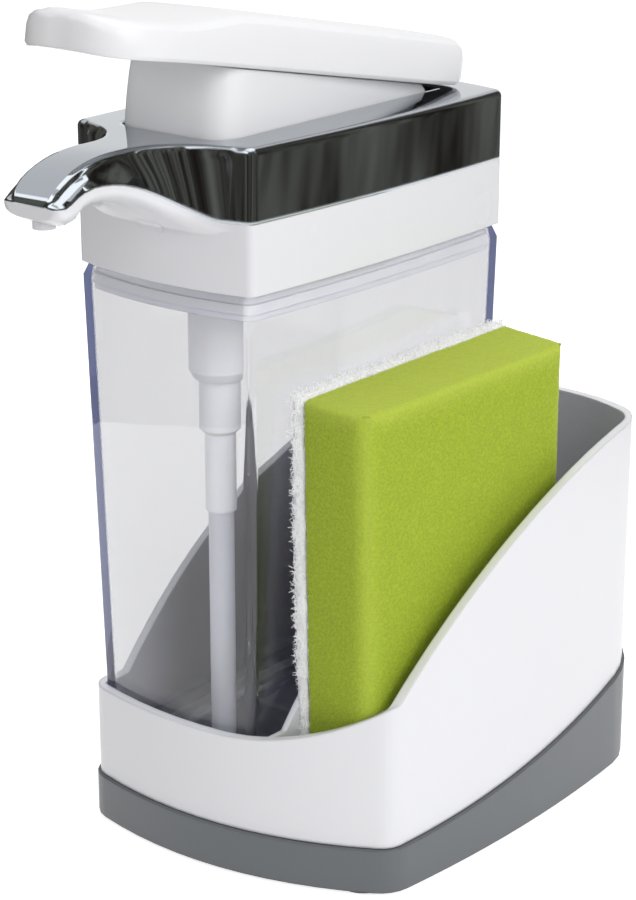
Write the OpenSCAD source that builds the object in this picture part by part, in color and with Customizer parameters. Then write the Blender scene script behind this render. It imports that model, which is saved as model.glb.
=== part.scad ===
// Soap pump caddy: a lever-topped soap dispenser and an upright sponge share one weighted caddy.
// Millimetres. The middle of the footprint stands on the origin, +Z is up and the spout points along -Y.

/* [Dispenser] */
// Width of the dispenser head between its corners
head_w = 50.8; // [46:0.2:54]
// Depth of the dispenser head between its corners
head_d = 88.3; // [84:0.1:96]
// Distance from the head's front corners back to the pump axis
pump_setback = 18; // [17:0.5:20]
// How far the head's front and back bow outwards
head_bow = 3.4; // [2.5:0.1:4.5]
// How far the long sides bow outwards
side_bow = 1.7; // [1:0.1:2.2]
// Height of the clear bottle
bottle_h = 122; // [110:1:132]
// Wall thickness of the bottle
bottle_wall = 2.5; // [2:0.1:3]
// Thickness of the bottle's floor
bottle_floor = 6; // [3:0.5:8]
// How much narrower the bottle is at its foot, on each side
bottle_draft = 2.6; // [1.5:0.1:3.2]
// Height of the white collar
collar_h = 15.4; // [14:0.2:18]
// Height of the chromed cover
cover_h = 16.1; // [15:0.1:18]
// Wall of the collar
collar_wall = 2.2; // [1.8:0.1:2.6]
// Skin of the chromed cover
cover_wall = 1.6; // [1.2:0.1:2]
// Depth of the plug that closes the bottle
plug_h = 6; // [5:0.5:8]

/* [Spout] */
// Reach of the spout in front of the head's front corners
spout_reach = 38.5; // [34:0.5:44]
// Half width of the spout's crest
spout_crest = 6.4; // [5.5:0.1:8]
// How much the spout widens from its crest to its lower edge
spout_flare = 2.3; // [1.5:0.1:3]
// Drop of the spout's crest at its tip
spout_drop = 8.4; // [6:0.2:10]
// Radius of the nozzle's body
nozzle_r = 2.4; // [2.2:0.1:2.8]

/* [Lever] */
// Reach of the push lever's nose beyond the pump axis
lever_reach = 50.6; // [46:0.2:54]
// Half width of the push lever
lever_half_w = 17.2; // [16.8:0.1:19]
// Depth of the push lever's skirt
lever_depth = 10.9; // [10:0.1:13]
// Resting slope of the push lever in degrees
lever_tilt = 10.8; // [10.4:0.1:12]
// Wall of the push lever
lever_wall = 2; // [1.6:0.1:2.4]
// Distance of the hinge in front of the head's rear corners
hinge_inset = 8.3; // [7.3:0.1:10.3]
// Height of the hinge axis above the collar's foot
hinge_up = 24.8; // [24:0.1:25.4]
// Radius of the hinge pin
pin_r = 1.5; // [1.2:0.1:2]

/* [Pump] */
// Radius of the pump's barrel
barrel_r = 6.8; // [6.4:0.1:7.2]
// Length of the barrel below the deck
barrel_l = 26; // [25:0.5:30]
// Radius of the valve housing
housing_r = 4.65; // [4.2:0.05:5]
// Length of the valve housing
housing_l = 13; // [11:0.5:15]
// Radius of the tube socket
socket_r = 3.5; // [3.2:0.1:3.8]
// Length of the tube socket
socket_l = 18.5; // [16:0.5:21]
// Radius of the dip tube
dip_r = 2.9; // [2.6:0.05:2.95]
// Radius of the plunger's stem
stem_r = 2.5; // [2.2:0.1:2.7]
// Radius of the return spring's coil
spring_r = 4; // [3.8:0.1:4.1]
// Radius of the return spring's wire
spring_wire = 0.45; // [0.35:0.05:0.55]
// Number of curls in the return spring
spring_curls = 6; // [5:1:7]

/* [Caddy] */
// Width of the caddy beyond the pump axis on the sponge side
caddy_right = 53.8; // [52:0.2:60]
// Furthest point of the caddy behind the pump axis
caddy_back = 106.4; // [102:0.2:116]
// Wall of the caddy
caddy_wall = 2.2; // [1.8:0.1:2.4]
// How far the caddy's sides bow outwards
caddy_bow = 3.2; // [3:0.1:4]
// Height of the rim in front of the bottle
rim_front = 34; // [30:0.5:40]
// Height of the rim at the back
rim_back = 89.5; // [80:0.5:96]
// Radius of the rim's sweep seen from the side
rim_sweep_r = 145; // [140:1:152]
// Thickness of the wall between bottle and sponge
divider_t = 1.6; // [1.4:0.1:2.4]
// Height of the grey base at the front
base_front = 11.6; // [10:0.2:13]
// Radius of the sweep along the grey base's upper edge
base_sweep_r = 400; // [380:5:480]
// How far the grey base stands proud of the caddy
base_proud = 0.9; // [0.7:0.1:1.2]
// Depth of the step in the caddy that the grey base fills
base_rebate = 0.6; // [0.4:0.1:0.8]
// Height of the rubber feet below the base
foot_h = 1.2; // [1:0.1:2]
// Radius of a rubber foot
foot_r = 6; // [5:0.5:6.5]

/* [Sponge] */
// Height of the sponge
sponge_h = 100; // [90:1:112]
// Depth of the sponge
sponge_d = 71.5; // [68:0.5:76]
// Thickness of the green foam
foam_t = 17.8; // [16:0.2:19]
// Thickness of the white scouring layer
scour_t = 3.4; // [3:0.1:4.2]

/* [Hidden] */

// Clearances
seat_gap = 0.2;
loose_gap = 0.3;
slide_gap = 0.4;
run_gap = 0.05;
cut = 1;

// Resolution of outlines and round parts
side_steps = 12;
corner_steps = 4;
$fn = 64;

// Heights, from the table upwards
plate_t = 1.8;
foot_sink = 0.6;
floor_z = foot_h + plate_t;
floor_t = 3;
floor_top = floor_z + floor_t;
bottle_z0 = 14;
bottle_top = bottle_z0 + bottle_h;
collar_z0 = bottle_top + seat_gap;
collar_z1 = collar_z0 + collar_h;
cover_z1 = collar_z1 + cover_h;
deck_t = 2.2;
deck_z1 = collar_z0 + deck_t;

// Plan of the head: two big arcs about the pump's centre plane, joined by bowed sides
half_w = head_w / 2;
front_y = -pump_setback;
rear_y = front_y + head_d;
bow_r = (half_w * half_w + head_bow * head_bow) / (2 * head_bow);
front_c = front_y - head_bow + bow_r;
rear_c = rear_y + head_bow - bow_r;
head_corner = 1.6;
head_corner_in = 1.2;

// Plan of the caddy: its front runs on along the head's front arc
caddy_left = -(half_w + 0.2);
caddy_rear_c = caddy_back - bow_r;
caddy_corner = [4, 3, 8, 8];

// A point on the front arc (way = -1) or the rear arc (way = 1) at a place x
function on_arc(x, c, r, way) = [x, c + way * sqrt(r * r - x * x)];

// Points from a to b along a bow of the given height, leaving out a share of each end
function bowed(a, b, bow, cut_a, cut_b, n) = let (
        len = norm(b - a),
        out = [(b - a)[1], -(b - a)[0]] / len,
        t0 = cut_a / len,
        t1 = 1 - cut_b / len
    ) [for (i = [0:n]) let (t = t0 + (t1 - t0) * i / n) a + (b - a) * t + out * bow * 4 * t * (1 - t)];

// Points that round off a corner between two places on its sides
function rounded(a, corner, b, n) =
    [for (i = [1:n - 1]) let (t = i / n) a * (1 - t) * (1 - t) + corner * 2 * t * (1 - t) + b * t * t];

// Height of a circular arc of radius r over the chord from a to b
function arc_bow(a, b, r) = let (h = norm(b - a) / 2) r - sqrt(r * r - h * h);

// A closed outline of four bowed sides with rounded corners, drawn anticlockwise from the front left
function outline(corners, bows, rounds, n = side_steps) = let (
        sides = [for (i = [0:3]) bowed(corners[i], corners[(i + 1) % 4], bows[i],
            rounds[i], rounds[(i + 1) % 4], n)]
    ) [for (i = [0:3]) each concat(sides[i],
        rounded(sides[i][n], corners[(i + 1) % 4], sides[(i + 1) % 4][0], corner_steps))];

// Outline of the head, drawn in by an inset
function head_outline(inset = 0) = let (
        r = bow_r - inset,
        x = half_w - inset,
        fl = on_arc(-x, front_c, r, -1),
        fr = on_arc(x, front_c, r, -1),
        br = on_arc(x, rear_c, r, 1),
        bl = on_arc(-x, rear_c, r, 1),
        c = max(head_corner - inset / 2, head_corner_in)
    ) outline([fl, fr, br, bl], [arc_bow(fl, fr, r), side_bow, arc_bow(br, bl, r), side_bow], [c, c, c, c]);

// Outline of the caddy, drawn in by an inset
function caddy_outline(inset = 0) = let (
        r = bow_r - inset,
        xl = caddy_left + inset,
        xr = caddy_right - inset,
        fl = on_arc(xl, front_c, r, -1),
        fr = on_arc(xr, front_c, r, -1),
        br = on_arc(xr, caddy_rear_c, r, 1),
        bl = on_arc(xl, caddy_rear_c, r, 1)
    ) outline([fl, fr, br, bl], [arc_bow(fl, fr, r), caddy_bow, arc_bow(br, bl, r), caddy_bow],
        [for (c = caddy_corner) max(c - 1.5 * inset, 0.8)]);

// A closed skin over rings that all have the same number of points
module skin(rings) {
    n = len(rings[0]);
    m = len(rings);
    polyhedron(
        points = [for (ring = rings) each ring],
        faces = concat(
            [[for (i = [0:n - 1]) i]],
            [for (k = [0:m - 2], i = [0:n - 1]) let (a = k * n + i, b = k * n + (i + 1) % n)
                each [[a, a + n, b + n], [a, b + n, b]]],
            [[for (i = [n - 1:-1:0]) (m - 1) * n + i]]
        )
    );
}

function at_height(points, z) = [for (p = points) [p[0], p[1], z]];

// A straight wall of one outline between two heights
module prism(points, z0, z1) {
    translate([0, 0, z0]) linear_extrude(z1 - z0) polygon(points);
}

module bore(r, z0, z1) {
    translate([0, 0, z0]) cylinder(r = r, h = z1 - z0);
}

// A cylinder along X, centred on the pump's centre plane
module cross_bar(r, half_l, y, z) {
    translate([-half_l, y, z]) rotate([0, 90, 0]) cylinder(r = r, h = 2 * half_l);
}

// Moves a node so that the middle of the whole part's footprint stands on the origin
module placed() {
    translate([-(caddy_left + caddy_right) / 2, -(front_y - spout_reach + caddy_back + base_proud) / 2, 0])
        children();
}

// Places of the fasteners and the feet
base_screw_at = [[-17, 3], [-16, 81], [45, 68], [43, 12]];
base_screw_r = 1.4;
base_head_r = 2.8;
base_head_h = 1;
base_boss_r = 3.6;
base_boss_top = 12;
foot_at = [[-17, -11.5], [-16, 94], [45, 82], [44, -3]];
cover_screw_x = 19.3;
cover_screw_y = [0, rear_y - 14.3];
cover_screw_r = 1.1;
cover_head_r = 2;
cover_head_h = 1.4;
cover_boss_r = 2.4;
cover_joint_z = collar_z1 + 1.5;
cover_screw_top = cover_z1 - 5;

module at_each(places) {
    for (p = places) translate([p[0], p[1], 0]) children();
}

function cover_screw_places() = [for (x = [-cover_screw_x, cover_screw_x], y = cover_screw_y) [x, y]];

// Grey base

module below_base_edge(lift = 0) {
    span = 3 * caddy_back;
    translate([-span / 2, 0, 0]) rotate([90, 0, 90]) linear_extrude(span) difference() {
        translate([-span / 2, 0]) square([span, base_front + lift + base_sweep_r / 20]);
        translate([front_y, base_front + lift + base_sweep_r]) circle(r = base_sweep_r, $fn = 256);
    }
}

module base_skirt() {
    color("#6C7374") placed() difference() {
        intersection() {
            prism(caddy_outline(-base_proud), foot_h, base_front + base_sweep_r / 20);
            below_base_edge();
        }
        prism(caddy_outline(base_rebate), floor_z, rim_back);
        at_each(base_screw_at) {
            bore(base_screw_r + slide_gap, foot_h - cut, floor_z + cut);
            bore(base_head_r + loose_gap, foot_h - cut, foot_h + base_head_h);
        }
        at_each(foot_at) bore(foot_r + run_gap, foot_h - cut, foot_h + foot_sink);
    }
}

module base_feet() {
    color("#55595B") placed() at_each(foot_at) bore(foot_r, 0, foot_h + foot_sink);
}

module base_screws() {
    color("#B4B6B8") placed() at_each(base_screw_at) difference() {
        union() {
            bore(base_head_r, foot_h, foot_h + base_head_h);
            bore(base_screw_r, foot_h, base_boss_top - loose_gap);
        }
        for (turn = [0, 90]) rotate([0, 0, turn])
            translate([-base_head_r / 2, -0.3, foot_h - cut]) cube([base_head_r, 0.6, cut + 0.6]);
    }
}

// White caddy

divider_x = half_w + side_bow - (bottle_top - rim_back) / bottle_h * bottle_draft + slide_gap;
bay_back = rear_y + head_bow + slide_gap;
well_wall_top = 60;
rim_tilt = 5.5;
rim_rise_x = 15;
rim_rise_r = 67;
rib_t = 2;
bottle_rib_in = 10;
sponge_rib_in = 30;
sponge_rib_pitch = 14;
rib_top = bottle_z0 - seat_gap;
sponge_z0 = floor_top + 6.8;

// Everything under the caddy's swept rim
module below_rim() {
    span = 2 * caddy_back;
    high = 2 * rim_back;
    rim_c = [caddy_back - 6, rim_back - rim_sweep_r];
    translate([caddy_right, 0, 0]) rotate([0, -rim_tilt, 0]) translate([-span, 0, 0])
        rotate([90, 0, 90]) linear_extrude(2 * span) union() {
            translate(rim_c) circle(r = rim_sweep_r, $fn = 256);
            translate([rim_c[0], 0]) square([span, rim_back]);
        }
    translate([0, span / 2, 0]) rotate([90, 0, 0]) linear_extrude(span) difference() {
        translate([-span / 2, 0]) square([span, rim_front + rim_rise_r / 3]);
        translate([-span, rim_front]) square([span + rim_rise_x, high]);
        translate([rim_rise_x, rim_front + rim_rise_r]) circle(r = rim_rise_r, $fn = 128);
    }
}

module caddy_shell() {
    color("#EFEFF3") placed() difference() {
        union() {
            intersection() {
                difference() {
                    prism(caddy_outline(), floor_z, rim_back);
                    prism(caddy_outline(caddy_wall), floor_top, rim_back + cut);
                }
                below_rim();
            }
            intersection() {
                prism(caddy_outline(caddy_wall / 2), floor_z, rim_back);
                below_rim();
                union() {
                    translate([divider_x, -caddy_back, floor_z])
                        cube([divider_t, caddy_back + bay_back + divider_t, rim_back]);
                    translate([-2 * half_w, bay_back, floor_z])
                        cube([2 * half_w + divider_x + divider_t, divider_t, well_wall_top - floor_z]);
                }
            }
            bottle_ribs();
            sponge_ribs();
            at_each(base_screw_at) bore(base_boss_r, floor_z, base_boss_top);
        }
        difference() {
            prism(caddy_outline(-base_proud), floor_z - cut, base_front + base_sweep_r / 20);
            prism(caddy_outline(base_rebate + run_gap), floor_z - 2 * cut, rim_back);
            above_base_edge();
        }
        at_each(base_screw_at) bore(base_screw_r, floor_z - cut, base_boss_top + cut);
    }
}

module above_base_edge() {
    span = 3 * caddy_back;
    translate([-span / 2, 0, 0]) rotate([90, 0, 90]) linear_extrude(span)
        translate([front_y, base_front + seat_gap + base_sweep_r]) circle(r = base_sweep_r, $fn = 256);
}

// Low walls that carry the bottle's floor
module bottle_ribs() {
    inner = half_w - bottle_draft - 4;
    for (y = [front_y + bottle_rib_in, (front_y + rear_y) / 2, rear_y - bottle_rib_in])
        translate([-inner, y - rib_t / 2, floor_z]) cube([2 * inner, rib_t, rib_top - floor_z]);
}

// Low walls that hold the sponge out of the drips
module sponge_ribs() {
    x0 = divider_x + divider_t / 2;
    intersection() {
        prism(caddy_outline(caddy_wall / 2), floor_z, sponge_z0 - seat_gap);
        for (k = [0:3]) translate([x0, front_y + sponge_rib_in + k * sponge_rib_pitch - rib_t / 2, floor_z])
            cube([caddy_right, rib_t, sponge_z0]);
    }
}

// Clear bottle

shoulder_h = 3;
shoulder_in = 1.5;
bottle_round = 12;
mouth_inset = seat_gap + bottle_wall;

// Inset of the bottle's outside at a height
function bottle_inset(z) = seat_gap + bottle_draft * (bottle_top - shoulder_h - z) / bottle_h;

module bottle() {
    lip_z = bottle_top - shoulder_h;
    inner_z0 = bottle_z0 + bottle_floor;
    foot_round = 2;
    color("#DDE1E8", 0.35) placed() difference() {
        skin([
            at_height(head_outline(bottle_inset(bottle_z0) + foot_round), bottle_z0),
            at_height(head_outline(bottle_inset(bottle_z0 + foot_round)), bottle_z0 + foot_round),
            at_height(head_outline(bottle_inset(lip_z)), lip_z),
            at_height(head_outline(shoulder_in), bottle_top)
        ]);
        skin(concat(
            [for (a = [0:22.5:90]) let (z = inner_z0 + bottle_round * (1 - cos(a)))
                at_height(head_outline(bottle_inset(z) + bottle_wall + bottle_round * (1 - sin(a))), z)],
            [at_height(head_outline(mouth_inset), lip_z),
             at_height(head_outline(mouth_inset), bottle_top + cut)]
        ));
    }
}

gasket_h = 2;
gasket_z = collar_z0 - 4.6;
plug_inset = mouth_inset + slide_gap;
plug_wall = 1.5;
groove = 0.7;

module bottle_gasket() {
    color("#B9BDC2") placed() difference() {
        prism(head_outline(mouth_inset + run_gap), gasket_z, gasket_z + gasket_h);
        prism(head_outline(plug_inset + groove), gasket_z - cut, gasket_z + gasket_h + cut);
    }
}

// Spout: sections across the spout from the head's front to the tip

cover_round = 1.5;
tip_round = 3;
root_x = 22;
root_d = head_bow * (1 - root_x * root_x / (half_w * half_w));
root_turn = root_d + (root_x - spout_crest) * 2 * head_bow * root_x / (half_w * half_w);
fillet_l = 16.5;
edge_rise = 10.4;
edge_start = 2.2;
arch_d = spout_reach - 10.9;
under_h = 4;
under_square = 0.62;
lip_drop = 2.1;
lip_slope = 0.47;
lip_z = collar_z1 + 4.7;

// Half width of the crest: it leaves the head's front arc along the arc and curves round to run forwards
function crest_w(d) = let (
        a = root_d - 2 * root_turn + fillet_l,
        b = 2 * (root_turn - root_d),
        t = max(0, min(1, (sqrt(max(0, b * b + 4 * a * (d - root_d))) - b) / (2 * a))),
        s = max(0, d - spout_reach + tip_round) / tip_round
    ) root_x * (1 - t) * (1 - t) + spout_crest * t * (2 - t)
        - tip_round * 0.7 * (1 - sqrt(max(0, 1 - s * s)));

// Height of the crest
function crest_z(d) = let (
        bend = 20,
        t = max(0, d - spout_reach + bend) / bend
    ) cover_z1 - spout_drop * 1.2 * (1 - sqrt(1 - 0.97 * t * t));

// Share of the spout's flare that is reached at a distance from the head
function flare(d) = max(0, min(1, d / 12));

// Half width at the lower edge of the chromed skin
function edge_w(d) = crest_w(d) + spout_flare * flare(d);

// Height of that lower edge: it arches up from the collar and comes down again to the tip
function edge_z(d) = let (
        up = max(0, min(1, (d - edge_start) / (arch_d - edge_start))),
        down = max(0, min(d, spout_reach - 2.5) - arch_d)
    ) collar_z1 + edge_rise * sin(90 * pow(up, 0.9)) - 0.042 * down * down;

// Lowest point of the white underside, which drops to a lip round the nozzle
function under_z(d) = let (s = max(0, min(1, (d - arch_d - 2.4) / 4)))
    max(edge_z(d) - under_h - lip_drop * s * s * (3 - 2 * s), lip_z + lip_slope * (d - spout_reach));

stations_reach = 38.5;
spout_stations = [-1.2, 0.86, 1.3, 1.9, 2.7, 3.7, 5, 6.5, 8.5, 11, 14, 16.5, 20, 23, 26, 28.5, 31, 33, 35,
    36.4, 37.4, 38.1, 38.5];
function station(d) = d * spout_reach / stations_reach;

// Half of a chromed section, from the crest down to the lower edge and past it by an overrun
function chrome_half(d, inset, overrun) = let (
        w = crest_w(d) - inset,
        e = edge_w(d) - inset,
        z = crest_z(d) - inset,
        z0 = edge_z(d),
        drop = max(z - z0, 0.6),
        r = min(cover_round, drop / 2)
    ) concat([for (a = [90:-22.5:0]) [w - r + r * cos(a), z - r + r * sin(a)]],
        [[(w + e) / 2 + 0.2 * flare(d), z - drop * 0.6], [e, z0 - overrun]]);

// A whole section from its right half, listed from the top down, going round anticlockwise from -Y
function mirrored(half) = concat([for (i = [len(half) - 1:-1:0]) half[i]],
    [for (p = half) [-p[0], p[1]]]);
function section_at(pts, y) = [for (p = pts) [p[0], y, p[1]]];

// Distance along the spout of a station, drawn in from the tip by twice an inset
function inset_reach(s, inset) = station(s) * (spout_reach - 2 * inset) / spout_reach;

// The chromed spout as a solid, drawn in by an inset and open at its foot up to its last section
module spout_skin(inset, overrun = 0) {
    last = spout_stations[len(spout_stations) - 1];
    skin([for (s = spout_stations) let (d = inset_reach(s, inset), low = s == last ? -inset / 3 : overrun)
        section_at(mirrored(chrome_half(d, inset, low)), front_y - d)]);
}

// Half of a section through the white underside, from its parting face down to its broad, flat bottom
function under_half(d) = let (e = edge_w(d), h = edge_z(d) - under_z(d))
    concat([[e, edge_z(d)]], [for (a = [6, 16, 28, 40, 52, 66, 82])
        [e * pow(cos(a), under_square), edge_z(d) - h * pow(sin(a), under_square)]]);

module spout_under() {
    skin([for (s = spout_stations) let (d = station(s)) section_at(mirrored(under_half(d)), front_y - d)]);
}

// Outlet hose: from the port on the pump's neck, under the lever and along the spout to the nozzle

hose_r = 2;
hose_bore_r = 1.55;
barb_r = 1.4;
barb_wall = 0.7;
barb_grip = 3;
nozzle_y = front_y - spout_reach + 4;
hose_end = nozzle_y + 4.5;
hose_route = [[-10.4, 6.2], [-13.6, 6.2], [-16, 7.2], [-18, 9.6], [-19.2, 12.6], [-21.5, 16.2],
    [-25, 19.4], [-30, 22.4], [hose_end + 12, 24.2], [hose_end + 6, 24.3], [hose_end, 24.3]];
port_z = collar_z0 + hose_route[0][1];
nozzle_barb_z = collar_z0 + hose_route[len(hose_route) - 1][1];

// A tube of radius r along a route in the centre plane, made longer by an overrun at both ends
module route_tube(route, r, overrun = 0, sides = 12) {
    m = len(route);
    ends = [route[0] - (route[1] - route[0]) / norm(route[1] - route[0]) * overrun,
        route[m - 1] + (route[m - 1] - route[m - 2]) / norm(route[m - 1] - route[m - 2]) * overrun];
    pts = [for (i = [0:m - 1]) i == 0 ? ends[0] : (i == m - 1 ? ends[1] : route[i])];
    skin([for (i = [0:m - 1]) let (
            way = pts[min(i + 1, m - 1)] - pts[max(i - 1, 0)],
            out = [-way[1], way[0]] / norm(way)
        ) [for (k = [0:sides - 1]) let (a = 360 * k / sides)
            [r * sin(a), pts[i][0] + out[0] * r * cos(a), collar_z0 + pts[i][1] + out[1] * r * cos(a)]]]);
}

module outlet_hose() {
    color("#E6E4DC") placed() difference() {
        route_tube(hose_route, hose_r);
        route_tube(hose_route, hose_bore_r, cut);
    }
}

module spout_nozzle() {
    low = under_z(front_y - nozzle_y) - 0.7;
    body_top = nozzle_barb_z - 2;
    elbow_y = nozzle_y + 1.2;
    jet_r = barb_r - barb_wall;
    color("#F2F2F2") placed() difference() {
        union() {
            translate([0, nozzle_y, 0]) bore(nozzle_r, low, body_top);
            translate([0, elbow_y, 0]) bore(barb_r, body_top - seat_gap, nozzle_barb_z + barb_r);
            translate([0, elbow_y, nozzle_barb_z]) rotate([-90, 0, 0])
                cylinder(r = barb_r, h = hose_end + barb_grip - elbow_y);
        }
        translate([0, nozzle_y, 0]) bore(jet_r, low - cut, body_top - 2 * jet_r);
        translate([0, elbow_y, 0]) bore(jet_r, body_top - 3 * jet_r, nozzle_barb_z);
        translate([0, elbow_y, nozzle_barb_z]) rotate([-90, 0, 0]) cylinder(r = jet_r, h = spout_reach);
    }
}

// White collar: the deck, the plug, the hinge posts and the underside of the spout

hinge_y = rear_y - hinge_inset;
hinge_z = collar_z0 + hinge_up;
post_x = [7.4, 10.4];
post_r = 4;

module hinge_posts() {
    for (side = [-1, 1]) translate([side * (post_x[0] + post_x[1]) / 2, 0, 0]) difference() {
        union() {
            cross_bar(post_r, (post_x[1] - post_x[0]) / 2, hinge_y, hinge_z);
            translate([-(post_x[1] - post_x[0]) / 2, hinge_y - post_r, collar_z0])
                cube([post_x[1] - post_x[0], 2 * post_r, hinge_up]);
        }
        cross_bar(pin_r, post_x[1], hinge_y, hinge_z);
    }
}

module collar() {
    color("#F1F1F4") placed() difference() {
        union() {
            difference() {
                union() {
                    prism(head_outline(), collar_z0, collar_z1);
                    difference() {
                        spout_under();
                        prism(head_outline(), collar_z1, cover_z1);
                    }
                }
                prism(head_outline(collar_wall), deck_z1, cover_z1);
            }
            prism(head_outline(plug_inset), collar_z0 - plug_h, collar_z0 + deck_t / 2);
            hinge_posts();
            at_each(cover_screw_places()) bore(cover_boss_r, collar_z0, cover_joint_z);
        }
        prism(head_outline(plug_inset + plug_wall), collar_z0 - plug_h - cut, collar_z0);
        difference() {
            prism(head_outline(plug_inset - cut), gasket_z, gasket_z + gasket_h);
            prism(head_outline(plug_inset + groove), gasket_z - cut, gasket_z + gasket_h + cut);
        }
        bore(barrel_r + run_gap, collar_z0 - cut, deck_z1 + cut);
        at_each(cover_screw_places()) bore(cover_screw_r + 0.1, collar_z0 - cut, cover_joint_z + cut);
        route_tube(hose_route, hose_r + loose_gap, hose_end - nozzle_y);
        translate([0, nozzle_y, 0]) bore(nozzle_r + run_gap, collar_z0, cover_z1);
    }
}

// Chromed cover

slot_gap = 0.4;

module chrome_cover() {
    color("#9DA1A6") placed() difference() {
        union() {
            difference() {
                union() {
                    skin(concat([at_height(head_outline(), collar_z1)],
                        [for (a = [0:22.5:90]) at_height(head_outline(cover_round * (1 - cos(a))),
                            cover_z1 - cover_round * (1 - sin(a)))]));
                    spout_skin(0);
                }
                prism(head_outline(cover_wall), collar_z1 - cut, cover_z1 - cover_wall);
                spout_skin(cover_wall, edge_z(head_bow) - collar_z1 + cut / 2);
            }
            at_each(cover_screw_places()) bore(cover_boss_r, cover_joint_z, cover_z1 - cover_wall / 2);
        }
        at_each(cover_screw_places()) bore(cover_screw_r, cover_joint_z - cut, cover_screw_top + loose_gap);
        translate([0, hinge_y, cover_z1 - 2 * cover_wall]) linear_extrude(3 * cover_wall)
            polygon([for (p = block_outline(-slot_gap)) [p[1], -p[0]]]);
    }
}

module cover_screws() {
    color("#B4B6B8") placed() at_each(cover_screw_places()) difference() {
        union() {
            bore(cover_head_r, collar_z0 - cover_head_h, collar_z0);
            bore(cover_screw_r, collar_z0 - cover_head_h, cover_screw_top);
        }
        for (turn = [0, 90]) rotate([0, 0, turn])
            translate([-cover_head_r / 2, -0.25, collar_z0 - 2 * cover_head_h])
                cube([cover_head_r, 0.5, cover_head_h * 1.5]);
    }
}

// Pump

flange_r = 10;
washer_t = 1;
flange_t = 2;
bore_wall = 1.4;
bore_r = barrel_r - bore_wall;
barrel_z0 = collar_z0 - barrel_l;
housing_z0 = barrel_z0 - housing_l;
socket_z0 = housing_z0 - socket_l;
flange_z = deck_z1 + washer_t;
nut_z0 = port_z + hose_r;
neck_z1 = nut_z0 + 2.4;
nut_r = barrel_r + 1.8;
nut_z1 = neck_z1 + 2.6;
bore_z0 = barrel_z0 + 2;
valve_r = 3.6;
valve_z = housing_z0 + 2;
dip_grip = 14;
port_l = barb_grip - hose_route[0][0];
dip_z0 = bottle_z0 + bottle_floor + 3;

module pump_barrel() {
    step = 1;
    color("#F0F0F2") placed() difference() {
        union() {
            rotate_extrude() polygon([
                [0, socket_z0], [socket_r, socket_z0], [socket_r, housing_z0],
                [housing_r - step, housing_z0], [housing_r, housing_z0 + step], [housing_r, barrel_z0],
                [barrel_r - step, barrel_z0], [barrel_r, barrel_z0 + 2 * step], [barrel_r, flange_z],
                [flange_r, flange_z], [flange_r, flange_z + flange_t], [barrel_r, flange_z + flange_t],
                [barrel_r, neck_z1], [0, neck_z1]
            ]);
            translate([0, 0, port_z]) rotate([90, 0, 0]) cylinder(r = barb_r, h = port_l);
        }
        bore(bore_r, bore_z0, neck_z1 + cut);
        bore(valve_r - 1.4, valve_z, bore_z0 + cut);
        bore(valve_r, valve_z, bore_z0 - 3);
        bore(1.6, socket_z0 + dip_grip, valve_z + cut);
        bore(dip_r + run_gap, socket_z0 - cut, socket_z0 + dip_grip);
        translate([0, 0, port_z]) rotate([90, 0, 0]) cylinder(r = barb_r - barb_wall, h = port_l + cut);
    }
}

module barrel_washer() {
    color("#A9ADB2") placed() difference() {
        bore(flange_r - 0.4, deck_z1, flange_z);
        bore(barrel_r + run_gap, deck_z1 - cut, flange_z + cut);
    }
}

wiper_r = 4.2;
wiper_t = 1.6;

module gland_nut() {
    color("#ECECEF") placed() difference() {
        bore(nut_r, nut_z0, nut_z1);
        bore(barrel_r + run_gap, nut_z0 - cut, neck_z1);
        bore(wiper_r + run_gap, neck_z1 - cut, neck_z1 + wiper_t);
        bore(stem_r + run_gap, neck_z1, nut_z1 + cut);
        for (a = [0:30:330]) rotate([0, 0, a]) translate([nut_r + 0.2, 0, nut_z0 - cut])
            cylinder(r = 0.6, h = nut_z1 - nut_z0 + 2 * cut, $fn = 16);
    }
}

module stem_wiper() {
    color("#3C3E41") placed() difference() {
        bore(wiper_r, neck_z1, neck_z1 + wiper_t);
        bore(stem_r + run_gap, neck_z1 - cut, neck_z1 + wiper_t + cut);
    }
}

module suction_valve() {
    color("#D9D6CE") placed() rotate_extrude() polygon([
        [0, valve_z + 0.6], [1.9, valve_z], [valve_r - run_gap, valve_z], [valve_r - run_gap, valve_z + 0.9],
        [2, valve_z + 1.2], [0.9, valve_z + 3.6], [0, valve_z + 3.6]
    ]);
}

module dip_tube() {
    color("#E9EAEC", 0.8) placed() difference() {
        bore(dip_r, dip_z0, socket_z0 + dip_grip);
        bore(dip_r - 0.8, dip_z0 - cut, socket_z0 + dip_grip + cut);
        translate([0, 0, dip_z0]) rotate([0, 45, 0]) translate([-4 * dip_r, -2 * dip_r, -6 * dip_r])
            cube([8 * dip_r, 4 * dip_r, 6 * dip_r]);
    }
}

piston_t = 3;
piston_r = bore_r - 0.75;
cap_r = 6;
cap_t = 2;
cap_z1 = hinge_z + 1.2;
piston_stroke = 16.6;
piston_z0 = nut_z1 - piston_stroke;

module plunger() {
    color("#F4F4F5") placed() difference() {
        union() {
            bore(piston_r, piston_z0, piston_z0 + piston_t);
            bore(stem_r, piston_z0, cap_z1);
            bore(cap_r, cap_z1 - cap_t, cap_z1);
        }
        for (a = [0:60:300]) rotate([0, 0, a]) translate([(stem_r + piston_r) / 2 + 0.1, 0, 0])
            bore(0.5, piston_z0 - cut, piston_z0 + piston_t + cut);
    }
}

module piston_seal() {
    color("#3C3E41") placed() rotate_extrude() polygon([
        [piston_r, piston_z0 - 0.5], [bore_r - run_gap, piston_z0 - 1], [bore_r - 0.3, piston_z0 + 1],
        [bore_r - run_gap, piston_z0 + piston_t + 0.4], [piston_r, piston_z0 + piston_t]
    ]);
}

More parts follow.
